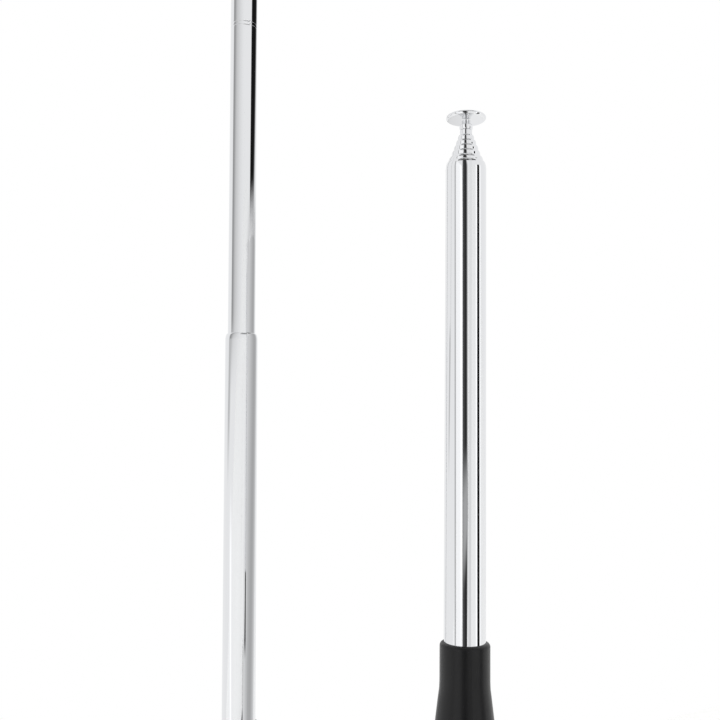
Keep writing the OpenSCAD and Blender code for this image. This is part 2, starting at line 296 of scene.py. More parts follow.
def begin(adder: Callable[..., set[str]], **settings: Any) -> Object:
    """Adds one primitive with nothing else selected, and opens it in edit mode.

    Args:
        adder: The primitive's operator.
        **settings: Its size, place and turn.

    Returns:
        The new object, in edit mode with all of it selected.
    """
    close()
    bpy.ops.object.select_all(action="DESELECT")
    adder(**settings)
    piece = bpy.context.object
    bpy.ops.object.mode_set(mode="EDIT")
    bpy.ops.mesh.select_mode(type="VERT")
    bpy.ops.mesh.select_all(action="SELECT")
    return piece


def close() -> None:
    """Leaves edit mode, if an object is in it."""
    if bpy.context.object and bpy.context.object.mode != "OBJECT":
        bpy.ops.object.mode_set(mode="OBJECT")


def choose(piece: Object, kind: str, test: Callable[[Vector], bool]) -> None:
    """Selects the parts of a mesh in edit mode whose middle passes a test.

    Args:
        piece: The object in edit mode.
        kind: VERT, EDGE or FACE.
        test: What a part's middle has to pass.
    """
    bpy.ops.mesh.select_mode(type=kind)
    bpy.ops.mesh.select_all(action="DESELECT")
    mesh = bmesh.from_edit_mesh(piece.data)
    parts = {"VERT": mesh.verts, "EDGE": mesh.edges, "FACE": mesh.faces}[kind]
    for part in parts:
        corners = [part.co] if kind == "VERT" else [v.co for v in part.verts]
        if test(sum(corners, Vector()) / len(corners)):
            part.select_set(True)
    mesh.select_flush_mode()
    bmesh.update_edit_mesh(piece.data)


def pick(piece: Object) -> None:
    """Leaves edit mode and selects one piece alone.

    Args:
        piece: The piece that the next operator acts on.
    """
    close()
    bpy.ops.object.select_all(action="DESELECT")
    piece.select_set(True)
    bpy.context.view_layer.objects.active = piece


def modify(piece: Object, kind: str, **settings: Any) -> None:
    """Adds one modifier to a closed piece and applies it.

    Args:
        piece: The object to change.
        kind: The modifier's type.
        **settings: The modifier's properties.
    """
    pick(piece)
    modifier = piece.modifiers.new(kind.title(), kind)
    for key, value in settings.items():
        setattr(modifier, key, value)
    bpy.ops.object.modifier_apply(modifier=modifier.name)


def cut(piece: Object, tool: Object, operation: str = "DIFFERENCE") -> None:
    """Cuts, joins or trims a piece with another solid, and removes that solid.

    Args:
        piece: The solid to change.
        tool: The solid that does it.
        operation: DIFFERENCE, UNION or INTERSECT.
    """
    modify(piece, "BOOLEAN", operation=operation, object=tool, solver="EXACT")
    bpy.data.objects.remove(tool)


def settle(piece: Object, place: Matrix) -> None:
    """Moves a piece to its place and keeps that place in its mesh.

    Args:
        piece: The piece, made round its own upright axis.
        place: Where that axis stands.
    """
    pick(piece)
    piece.matrix_world = place @ piece.matrix_world
    bpy.ops.object.transform_apply(location=True, rotation=True, scale=True)


def smooth(piece: Object, degrees: float = 32.0) -> None:
    """Shades a piece smooth, apart from edges sharper than an angle.

    Args:
        piece: The piece.
        degrees: The angle.
    """
    pick(piece)
    bpy.ops.object.shade_smooth_by_angle(angle=math.radians(degrees))


def arc(centre: tuple[float, float], rx: float, rz: float, start: float, end: float) -> Outline:
    """Points along part of an ellipse in the radius and height plane.

    Args:
        centre: Its centre.
        rx: Half width.
        rz: Half height.
        start: First angle in degrees, from the outward direction.
        end: Last angle in degrees.

    Returns:
        The points, ends included, about eight degrees apart.
    """
    count = max(2, round(abs(end - start) / 8))
    turns = [math.radians(start + (end - start) * k / count) for k in range(count + 1)]
    return [(centre[0] + rx * math.cos(t), centre[1] + rz * math.sin(t)) for t in turns]


def turn(outline: Outline, steps: int = ROUND, sweep: float = math.tau) -> Object:
    """Turns an outline round the upright axis, as on a lathe.

    Args:
        outline: Points of radius and height, the last the same as the first for a ring.
        steps: Facets round the axis.
        sweep: How far round it goes, in radians.

    Returns:
        The turned solid, smooth shaded.
    """
    piece = begin(bpy.ops.mesh.primitive_plane_add, size=MM)
    bpy.ops.mesh.merge(type="CENTER")
    bpy.ops.transform.translate(value=(outline[0][0], 0, outline[0][1]))
    for here, there in pairwise(outline):
        step = (there[0] - here[0], 0, there[1] - here[1])
        bpy.ops.mesh.extrude_region_move(TRANSFORM_OT_translate={"value": step})
    bpy.ops.mesh.select_all(action="SELECT")
    bpy.ops.mesh.spin(steps=steps, angle=sweep, center=(0, 0, 0), axis=(0, 0, 1))
    bpy.ops.mesh.select_all(action="SELECT")
    bpy.ops.mesh.remove_doubles(threshold=TINY)
    bpy.ops.mesh.normals_make_consistent(inside=False)
    smooth(piece)
    return piece


def prism(sides: int, radius: float, height: float, place: Matrix, chamfer: float) -> Object:
    """A bevelled prism or disc standing on its place.

    Args:
        sides: Corners of its outline.
        radius: Distance from its axis to a corner.
        height: Its height along its axis.
        place: Where its foot's centre stands.
        chamfer: Width of the bevel along its end edges, or 0 for none.

    Returns:
        The solid.
    """
    piece = begin(
        bpy.ops.mesh.primitive_cylinder_add,
        vertices=sides,
        radius=radius,
        depth=height,
        location=(0, 0, height / 2),
    )
    if chamfer:
        edge = 0.01 * MM
        choose(piece, "EDGE", lambda c: c.z < edge or c.z > height - edge)
        bpy.ops.mesh.bevel(offset=chamfer, segments=3, profile=0.5)
    settle(piece, place)
    return piece


def eye_plate(radius: float, foot: float, thickness: float, chamfer: float) -> Object:
    """A flat plate that stands up to a round end centred on the origin, thick along Y.

    Args:
        radius: Radius of its round end, and half its width.
        foot: How far its straight part reaches below the centre.
        thickness: Its thickness.
        chamfer: Radius of the rounding along its edges.

    Returns:
        The plate, centred on Y.
    """
    piece = begin(
        bpy.ops.mesh.primitive_circle_add,
        vertices=ROUND,
        radius=radius,
        rotation=(math.pi / 2, 0, 0),
        location=(0, -thickness / 2, 0),
    )
    close()
    settle(piece, Matrix.Identity(4))
    bpy.ops.object.mode_set(mode="EDIT")
    choose(piece, "VERT", lambda c: c.z < -TINY)
    bpy.ops.mesh.delete(type="VERT")
    choose(piece, "VERT", lambda c: c.z < TINY)
    bpy.ops.mesh.extrude_region_move(TRANSFORM_OT_translate={"value": (0, 0, -foot)})
    bpy.ops.mesh.select_all(action="SELECT")
    bpy.ops.mesh.edge_face_add()
    bpy.ops.mesh.select_all(action="SELECT")
    bpy.ops.mesh.extrude_region_move(TRANSFORM_OT_translate={"value": (0, thickness, 0)})
    bpy.ops.mesh.select_all(action="SELECT")
    bpy.ops.mesh.remove_doubles(threshold=TINY)
    bpy.ops.mesh.normals_make_consistent(inside=False)
    side = thickness / 2 - TINY
    choose(piece, "EDGE", lambda c: abs(c.y) > side and c.z > TINY - foot)
    bpy.ops.mesh.bevel(offset=chamfer, segments=4, profile=0.5)
    close()
    return piece


def across(place: Vector) -> Matrix:
    """A place whose upright axis points along +Y."""
    return Matrix.Translation(place) @ Matrix.Rotation(-math.pi / 2, 4, "X")


def finish_piece(
    piece: Object, name: str, material: Material, body: str, nodes: Iterable[str]
) -> None:
    """Names a piece, dresses it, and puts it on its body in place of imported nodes.

    Args:
        piece: The finished mesh.
        name: Its name.
        material: Its material.
        body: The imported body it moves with.
        nodes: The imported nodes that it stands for.
    """
    close()
    piece.name = name
    piece.data.name = name
    piece.data.materials.clear()
    piece.data.materials.append(material)
    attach(piece, body)
    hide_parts(*nodes)
    LOG.info("%s: %d faces on %s", name, len(piece.data.polygons), body)


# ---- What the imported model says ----


@dataclass(frozen=True)
class Gauge:
    """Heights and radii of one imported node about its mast's axis.

    Attributes:
        rows: The radius and height of each of its points.
    """

    rows: Outline

    @property
    def foot(self) -> float:
        """The lowest height."""
        return min(h for _, h in self.rows)

    @property
    def mouth(self) -> float:
        """The greatest height."""
        return max(h for _, h in self.rows)

    @property
    def radius(self) -> float:
        """The greatest radius."""
        return max(r for r, _ in self.rows)

    def inner_radius(self, height: float, near: float = 0.02 * MM) -> float:
        """The least radius found at a height."""
        return min(r for r, h in self.rows if abs(h - height) < near)

    def outer_radius(self, height: float, near: float = 0.02 * MM) -> float:
        """The greatest radius found at a height."""
        return max(r for r, h in self.rows if abs(h - height) < near)

    @property
    def shoulder(self) -> float:
        """The height where the full radius ends."""
        full = self.radius - 0.004 * MM
        return max(h for r, h in self.rows if r > full)

    def dips(self) -> list[float]:
        """The lower edges of grooves cut in the full radius."""
        low, high = self.foot + MM, self.shoulder - MM
        edges = sorted({round(h / MM, 2) for _, h in self.rows if low < h < high})
        return [h * MM for h in edges[::2]]


@dataclass(frozen=True)
class MastAxis:
    """One mast's axis, from its packed joints: it starts at the hinge.

    Attributes:
        side: Which mast it is.
        pivot: The hinge's middle.
        direction: From the hinge to the tip, one long.
    """

    side: Side
    pivot: Vector
    direction: Vector

    @classmethod
    def of(cls, side: Side) -> "MastAxis":
        """Reads one side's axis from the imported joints.

        Args:
            side: The mast's side.

        Returns:
            The axis, which points from the hinge to the tip.
        """
        joints = {j["name"]: j for j in frame["joints"]}
        tilt = joints[f"mast_{side.value}_tilt"]
        slide = joints[f"section_2_{side.value}_slide"]
        return cls(side, Vector(tilt["pos_m"]), Vector(slide["axis"]).normalized())

    @property
    def lean(self) -> float:
        """Angle from upright towards +X, in radians."""
        return math.atan2(self.direction.x, self.direction.z)

    @property
    def place(self) -> Matrix:
        """The place of what is turned about this axis."""
        return Matrix.Translation(self.pivot) @ Matrix.Rotation(self.lean, 4, "Y")

    def at(self, height: float) -> Vector:
        """The point on the axis at a height above the hinge."""
        return self.pivot + self.direction * height

    def node(self, name: str) -> str:
        """This side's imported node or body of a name."""
        return f"{name}_{self.side.value}"

    def gauge(self, name: str) -> Gauge:
        """Measures one of this side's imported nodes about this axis.

        Args:
            name: The node's name, without its side.

        Returns:
            Its heights and radii.
        """
        rows = []
        for vertex in frame["nodes"][self.node(name)].data.vertices:
            arm = vertex.co - self.pivot
            height = arm.dot(self.direction)
            rows.append(((arm - self.direction * height).length, height))
        return Gauge(rows)


# ---- Finishes ----

# Bright chrome over drawn brass: a near mirror with faint lengthwise draw lines and hand haze.
CHROME = DrawnMetal(
    "chrome_on_drawn_brass", "#E3E4E6", 0.035, haze=0.03, grain_mm=0.16, relief_mm=0.00012
)
# Chrome over a zinc die casting: a mirror a little dulled by the casting's skin.
CAST_CHROME = DrawnMetal(
    "chrome_on_zinc_casting", "#D9DADC", 0.1, haze=0.08, grain_mm=0.5, relief_mm=0.001, run=1.0
)
# Nickel over turned brass: warmer and softer than chrome.
NICKEL = DrawnMetal(
    "nickel_on_turned_brass", "#C9C3B6", 0.16, haze=0.08, grain_mm=0.12, relief_mm=0.0006, run=0.2
)
# Zinc plate on steel: grey, bluish, with a broad soft shine.
ZINC = DrawnMetal(
    "zinc_plated_steel", "#B9BDC2", 0.3, haze=0.12, grain_mm=0.3, relief_mm=0.001, run=1.0
)
# Rolled phosphor bronze strip: warm, with fine rolling lines.
BRONZE = DrawnMetal(
    "rolled_phosphor_bronze", "#C89B5A", 0.25, haze=0.1, grain_mm=0.1, relief_mm=0.0006, run=20.0
)
# Cast iron from the mould: dark grey, pebbled and nearly dull.
IRON = DrawnMetal(
    "bare_cast_iron", "#55565A", 0.6, haze=0.15, grain_mm=0.9, relief_mm=0.05, run=1.0
)
# Satin ABS from an etched mould: deep black, with a soft broad sheen at its edges.
SATIN_ABS = MouldedPlastic(
    "satin_black_abs", "#0C0C0E", 0.32, haze=0.08, grain_mm=0.14, relief_mm=0.0012, ior=1.36
)
# Spark-eroded ABS: a finer sparkle than satin, so broad faces read as a dry dark grey.
SPARK_ABS = MouldedPlastic(
    "spark_textured_black_abs", "#1C1C1F", 0.46, haze=0.1, grain_mm=0.35, relief_mm=0.012
)
# Non-slip rubber sheet: flat black, with no highlight to speak of.
RUBBER = MouldedPlastic(
    "matt_rubber_sheet", "#202021", 0.8, haze=0.1, grain_mm=0.5, relief_mm=0.02, ior=1.52
)
# Lacquered glass laminate: green with a thin wet gloss over its weave.
LAMINATE = MouldedPlastic(
    "lacquered_glass_laminate", "#1F5B34", 0.22, haze=0.1, grain_mm=0.6, relief_mm=0.004
)
# Sintered ferrite: charcoal, chalky, faintly granular.
FERRITE = MouldedPlastic(
    "sintered_ferrite", "#3A3A3D", 0.55, haze=0.1, grain_mm=0.25, relief_mm=0.01, ior=2.0
)
# Turned acetal insulator: milky white and slightly waxy.
ACETAL = MouldedPlastic(
    "turned_white_acetal", "#ECEBE6", 0.35, haze=0.08, grain_mm=0.2, relief_mm=0.002, ior=1.48
)
# Extruded vinyl sheath: red, smooth, with a soft shine.
VINYL = MouldedPlastic(
    "extruded_red_vinyl", "#9C1F22", 0.4, haze=0.08, grain_mm=0.3, relief_mm=0.003, ior=1.53
)

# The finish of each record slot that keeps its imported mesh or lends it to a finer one.
SLOT_FINISHES: dict[str, Finish] = {
    "chrome_tube": CHROME,
    "plated_knuckle": CAST_CHROME,
    "boot_plastic": SATIN_ABS,
    "head_plastic": SATIN_ABS,
    "base_plastic": SPARK_ABS,
    "zinc_steel": ZINC,
    "ballast_iron": IRON,
    "foot_rubber": RUBBER,
    "spring_brass": BRONZE,
    "hinge_fastener": NICKEL,
    "fastener_steel": ZINC,
    "board_laminate": LAMINATE,
    "core_ferrite": FERRITE,
    "socket_nickel": NICKEL,
    "socket_insulator": ACETAL,
    "lead_insulation": VINYL,
}


@dataclass
class Wardrobe:
    """Builds each finish once, and gives each mast chrome whose draw lines follow its lean."""

    made: dict[str, Material] = field(default_factory=dict)

    def get(self, finish: Finish) -> Material:
        """The material of a finish, made on first use."""
        if finish.name not in self.made:
            self.made[finish.name] = finish.build()
        return self.made[finish.name]

    def chrome(self, axis: MastAxis) -> Material:
        """Chrome whose draw lines run along one mast.

        Args:
            axis: The mast's axis.

        Returns:
            The material.
        """
        name = f"{CHROME.name}_{axis.side.value}"
        values = {key: getattr(CHROME, key) for key in CHROME.__dataclass_fields__}
        return self.get(DrawnMetal(**{**values, "name": name, "lean": axis.lean}))

    def dress_nodes(self) -> None:
        """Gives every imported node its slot's finish."""
        for row in frame["record"]["subparts"]:
            node = frame["nodes"][row["node"]]
            node.data.materials.clear()
            node.data.materials.append(self.get(SLOT_FINISHES[row["material_slot"]]))


# ---- The masts ----


@dataclass
class TelescopicMast:
    """Seven chrome sections, their tip button and the boot at their foot.

    Attributes:
        axis: The mast's axis.
        wardrobe: Where its materials come from.
        support: Distance of the extra ring that keeps a long tube's shading straight.
        lip: Radius of the rolled lip at a tube's mouth.
        groove_width: Width of one rolled groove.
        groove_depth: Depth of one rolled groove.
        collar_radius: Radius of the tip's collar.
        collar_height: Height of the tip's collar.
        collar_foot: Rounding under the collar.
        collar_edge: Rounding over the collar, and between it and the neck.
        neck_radius: Radius of the tip's neck.
        neck_flare: Radius of the flare from the neck to the disc.
        disc_height: Thickness of the tip's disc.
        disc_edge: Radius of its rim, as a share of its thickness.
        boot_rounding: Radius of the boot's rim.
        boot_collar: Length of the boot's straight collar.
        boot_seat: Depth of the recess in the boot's foot.
        boot_edge: Rounding round the boot's foot.
    """

    axis: MastAxis
    wardrobe: Wardrobe
    support: float = 0.12 * MM
    lip: float = 0.12 * MM
    groove_width: float = 0.42 * MM
    groove_depth: float = 0.07 * MM
    collar_radius: float = 1.3 * MM
    collar_height: float = 1.1 * MM
    collar_foot: float = 0.35 * MM
    collar_edge: float = 0.2 * MM
    neck_radius: float = 0.85 * MM
    neck_flare: float = 0.3 * MM
    disc_height: float = 1.1 * MM
    disc_edge: float = 0.42
    boot_rounding: float = 0.72 * MM
    boot_collar: float = 8.0 * MM
    boot_seat: float = 3.0 * MM
    boot_edge: float = 1.0 * MM

    def body(self, number: int) -> str:
        """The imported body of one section."""
        mast = self.axis.node("mast")
        return mast if number == 1 else f"{mast}_{number}"

    def grooves(self, gauge: Gauge) -> Outline:
        """Round-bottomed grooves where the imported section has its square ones.

        Args:
            gauge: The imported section's measures.

        Returns:
            The outline's points across the grooves, from the lowest up.
        """
        points: Outline = []
        for low in gauge.dips():
            middle = low + self.groove_width / 2
            points += [(gauge.radius, middle - self.groove_width)]
            for k in range(GROOVE_STEPS + 1):
                reach = k / GROOVE_STEPS
                dip = self.groove_depth * math.sin(math.pi * reach) ** 2
                points.append((gauge.radius - dip, middle + (reach - 0.5) * self.groove_width))
        return points

    def section_outline(self, number: int) -> Outline:
        """The wall of one section, from its foot up over its swaged mouth and back inside.

        Args:
            number: The section, counted from the boot.

        Returns:
            Its closed outline.
        """
        gauge = self.axis.gauge(f"section_{number}")
        full, foot, mouth, shoulder = gauge.radius, gauge.foot, gauge.mouth, gauge.shoulder
        bore, inner = gauge.inner_radius(foot), gauge.inner_radius(mouth)
        wall = full - bore
        lip = min(wall / 2, self.lip)
        crown = inner + lip
        outline = [(bore, foot), (full - wall / 3, foot), (full, foot + wall / 3)]
        outline += [(full, foot + wall / 3 + self.support)]
        outline += self.grooves(gauge) if number == 2 else []
        outline += [(full, shoulder - self.support)]
        outline += arc((crown, shoulder), full - crown, mouth - shoulder, 0, 90)
        outline += arc((crown, mouth - lip), lip, lip, 90, 180)[1:]
        outline += [(inner, mouth - 2 * lip - self.support), (bore, shoulder - wall)]
        return outline + [(bore, shoulder - wall - self.support), (bore, foot)]

    def make_sections(self) -> None:
        """Turns every section in place of its packed one."""
        chrome = self.wardrobe.chrome(self.axis)
        for number in range(1, SECTIONS + 1):
            piece = turn(self.section_outline(number))
            settle(piece, self.axis.place)
            node = self.axis.node(f"section_{number}")
            finish_piece(piece, f"chrome_{node}", chrome, self.body(number), [node])

    def make_tip(self) -> None:
        """Turns the tip button, with its collar, neck and round-edged disc."""
        gauge = self.axis.gauge("tip_button")
        seat = self.axis.gauge(f"section_{SECTIONS}").mouth
        spigot = gauge.outer_radius(gauge.foot)
        collar, neck, rim = self.collar_radius, self.neck_radius, gauge.radius
        top, under = gauge.mouth, gauge.mouth - self.disc_height
        edge, foot, flare = self.disc_height * self.disc_edge, self.collar_foot, self.neck_flare
        shelf, bend = seat + self.collar_height, self.collar_edge
        outline = [(0, gauge.foot), (spigot, gauge.foot), (spigot, seat)]
        outline += arc((collar - foot, seat + foot), foot, foot, -90, 0)
        outline += arc((collar - bend, shelf - bend), bend, bend, 0, 90)
        outline += arc((neck + bend, shelf + bend), bend, bend, 270, 180)
        outline += arc((neck + flare, under - 0.22 * MM), flare, flare, 180, 90)
        outline += [(rim - edge - 0.5 * MM, under + 0.02 * MM)]
        outline += arc((rim - edge, under + edge), edge, edge, -80, 80)
        outline += [(rim - edge - 0.6 * MM, top - 0.12 * MM), (rim / 2, top - 0.03 * MM), (0, top)]
        piece = turn(outline)
        settle(piece, self.axis.place)
        node = self.axis.node("tip_button")
        chrome = self.wardrobe.chrome(self.axis)
        finish_piece(piece, f"chrome_{node}", chrome, self.body(SECTIONS), [node])

    def make_boot(self) -> None:
        """Turns the boot: a rounded rim, a straight collar and a taper to its foot."""
        gauge = self.axis.gauge("boot")
        rim, foot, round_r = gauge.mouth, gauge.foot, self.boot_rounding
        bore = gauge.inner_radius(rim)
        collar = gauge.outer_radius(rim - self.boot_collar)
        recess = gauge.inner_radius(foot)
        seat, edge = foot + self.boot_seat, self.boot_edge
        bend = rim - self.boot_collar
        slope = (gauge.radius - collar) / (bend - foot)
        outline = [(bore, seat), (recess, seat), (recess, foot), (gauge.radius - edge, foot)]
        outline += arc((gauge.radius - edge, foot + edge), edge, edge, -82, 0)
        outline += [
            (gauge.radius - slope * 2 * MM, foot + 2 * MM),
            (collar + slope * 2 * MM, bend - 2 * MM),
            (collar + slope * 0.4 * MM, bend - 0.6 * MM),
            (collar, bend + 0.8 * MM),
            (collar, rim - round_r - 0.4 * MM),
        ]
        outline += arc((collar - round_r, rim - round_r), round_r, round_r, 0, 90)
        outline += [(bore, rim - 0.02 * MM), (bore, rim - MM), (bore, seat)]
        piece = turn(outline)
        settle(piece, self.axis.place)
        node = self.axis.node("boot")
        abs_black = self.wardrobe.get(SATIN_ABS)
        finish_piece(piece, f"moulded_{node}", abs_black, self.body(1), [node])

    def build(self) -> None:
        """Makes the whole mast."""
        self.make_sections()
        self.make_tip()
        self.make_boot()


# ---- The swivel heads ----


@dataclass
class SwivelHead:
    """One fork that turns on the base, with the knuckle, screw and nut of its hinge.

    Attributes:
        axis: Its mast's axis, which starts at the hinge.
        wardrobe: Where its materials come from.
        eye: Radius of the round ends of ears and tongue.
        ear: Thickness of one ear.
        tongue: Thickness of the knuckle's tongue.
        rounding: Radius along moulded and cast edges.
        stem_radius: Radius of the stem that turns in the base.
        flange_gap: Gap between the flange and the base's top.
        flange_height: Height of the flange.
        flange_edge: Rounding over the flange.
        flange_foot: Rounding under the flange.
        shank: Radius of the screw.
        clearance: Gap round the screw, its head and its nut.
        screw_head: Diameter of the screw's head.
        screw_depth: Depth of the screw's head in its ear.
        nut_flats: Distance across the nut's flats.
        nut_depth: Depth of the nut in its ear.
        slot_width: Width of one bar of the screw's cross recess.
    """

    axis: MastAxis
    wardrobe: Wardrobe
    eye: float = 6.5 * MM
    ear: float = 3.4 * MM
    tongue: float = 5.8 * MM
    rounding: float = 0.5 * MM
    stem_radius: float = 4.5 * MM
    flange_gap: float = 0.1 * MM
    flange_height: float = 3.0 * MM
    flange_edge: float = 1.2 * MM
    flange_foot: float = 0.3 * MM
    shank: float = 1.5 * MM
    clearance: float = 0.05 * MM
    screw_head: float = 5.6 * MM
    screw_depth: float = 1.7 * MM
    nut_flats: float = 5.5 * MM
    nut_depth: float = 1.9 * MM
    slot_width: float = 0.7 * MM

    @property
    def body(self) -> str:
        """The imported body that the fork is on."""
        return self.axis.node("swivel")

    @property
    def reach(self) -> float:
        """Distance from the middle of the fork to its outer faces."""
        low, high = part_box(self.axis.node("hinge_screw"))
        return (high.y - low.y) / 2

    def make_fork(self) -> None:
        """Makes the flange, its stem and the two ears as one moulding."""
        low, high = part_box(self.axis.node("swivel_head"))
        pivot = self.axis.pivot
        flange_r = (high.x - low.x) / 2
        base_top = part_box("base_shell")[1].z
        foot = base_top + self.flange_gap
        top = foot + self.flange_height
        stem, edge, bend = self.stem_radius, self.flange_edge, self.flange_foot
        outline = [(0, low.z), (stem, low.z), (stem, foot), (flange_r - bend, foot)]
        outline += arc((flange_r - bend, foot + bend), bend, bend, -82, 0)
        outline += arc((flange_r - edge, top - edge), edge, edge, 0, 90)
        outline += [(flange_r - edge - 0.6 * MM, top), (0, top)]
        fork = turn(outline)
        settle(fork, Matrix.Translation((pivot.x, pivot.y, 0)))
        for hand in (-1, 1):
            ear = eye_plate(self.eye, pivot.z - top + MM, self.ear, self.rounding)
            middle = hand * (self.reach - self.ear / 2)
            settle(ear, Matrix.Translation(pivot + Vector((0, middle, 0))))
            cut(fork, ear, "UNION")
        back = pivot + Vector((0, self.reach - self.nut_depth, 0))
        front = pivot - Vector((0, self.reach + MM, 0))
        corner = (self.nut_flats / 2 + self.clearance) / math.cos(math.pi / 6)
        head_r = self.screw_head / 2 + self.clearance
        cut(fork, prism(6, corner, self.nut_depth + MM, across(back), 0))
        cut(fork, prism(ROUND, head_r, self.screw_depth + MM, across(front), 0))
        hole_r = self.shank + self.clearance
        cut(fork, prism(ROUND, hole_r, 2 * self.reach + 2 * MM, across(front), 0))
        smooth(fork)
        node = self.axis.node("swivel_head")
        satin = self.wardrobe.get(SATIN_ABS)
        finish_piece(fork, f"moulded_{node}", satin, self.body, [node])

    def make_screw(self) -> None:
        """Makes the hinge screw, with a domed head and a cross recess."""
        head_r, shank, reach = self.screw_head / 2, self.shank, self.reach
        dome = 0.35 * MM
        depth = self.screw_depth
        outline = [(0, 0), (head_r * 0.5, 0.03 * MM), (head_r - dome, 0.1 * MM)]
        outline += arc((head_r - dome, 0.1 * MM + dome), dome, dome, -80, 0)
        outline += [(head_r, depth), (shank, depth)]
        outline += [(shank, 2 * reach - 0.3 * MM), (shank - 0.3 * MM, 2 * reach), (0, 2 * reach)]
        screw = turn(outline, steps=ROUND // 2)
        settle(screw, across(self.axis.pivot - Vector((0, reach, 0))))
        for angle in (math.pi / 4, -math.pi / 4):
            bar = begin(bpy.ops.mesh.primitive_cube_add, size=1)
            bpy.ops.transform.resize(value=(3.4 * MM, 1.8 * MM, self.slot_width))
            bpy.ops.mesh.bevel(offset=0.1 * MM, segments=2)
            face = self.axis.pivot - Vector((0, reach, 0))
            settle(bar, Matrix.Translation(face) @ Matrix.Rotation(angle, 4, "Y"))
            cut(screw, bar)
        smooth(screw)
        node = self.axis.node("hinge_screw")
        nickel = self.wardrobe.get(NICKEL)
        finish_piece(screw, f"nickel_{node}", nickel, self.body, [node])

    def make_nut(self) -> None:
        """Makes the hinge nut with chamfered corners."""
        place = across(self.axis.pivot + Vector((0, self.reach - self.nut_depth, 0)))
        corner = self.nut_flats / 2 / math.cos(math.pi / 6)
        nut = prism(6, corner, self.nut_depth, place, 0.25 * MM)
        bore_place = across(self.axis.pivot + Vector((0, self.reach - self.nut_depth - MM, 0)))
        cut(nut, prism(ROUND // 2, self.shank, self.nut_depth + 2 * MM, bore_place, 0))
        smooth(nut)
        node = self.axis.node("hinge_nut")
        nickel = self.wardrobe.get(NICKEL)
        finish_piece(nut, f"nickel_{node}", nickel, self.body, [node])

    def make_knuckle(self) -> None:
        """Makes the tongue, its flange in the boot and the spigot in the outer tube."""
        gauge = self.axis.gauge("knuckle")
        boot = self.axis.gauge("boot")
        tube = self.axis.gauge("section_1")
        flange_r = boot.inner_radius(boot.foot) - self.clearance
        spigot_r = tube.inner_radius(tube.foot) - 0.03 * MM
        foot, seat, top = boot.foot, tube.foot, gauge.mouth
        outline = [(0, foot), (flange_r, foot), (flange_r, seat), (spigot_r, seat)]
        outline += [(spigot_r, top - 0.4 * MM), (spigot_r - 0.4 * MM, top), (0, top)]
        knuckle = turn(outline)
        tongue = eye_plate(self.eye, foot + MM, self.tongue, self.rounding)
        settle(tongue, Matrix.Rotation(math.pi, 4, "X"))
        cut(knuckle, tongue, "UNION")
        hole = across(Vector((0, -self.tongue, 0)))
        hole_r = self.shank + self.clearance
        cut(knuckle, prism(ROUND, hole_r, 2 * self.tongue, hole, 0))
        settle(knuckle, self.axis.place)
        smooth(knuckle)
        node = self.axis.node("knuckle")
        plate = self.wardrobe.get(CAST_CHROME)
        body = self.axis.node("mast")
        finish_piece(knuckle, f"plated_{node}", plate, body, [node])

    def build(self) -> None:
        """Makes the whole hinge."""
        self.make_fork()
        self.make_screw()
        self.make_nut()
        self.make_knuckle()


# ---- The base ----


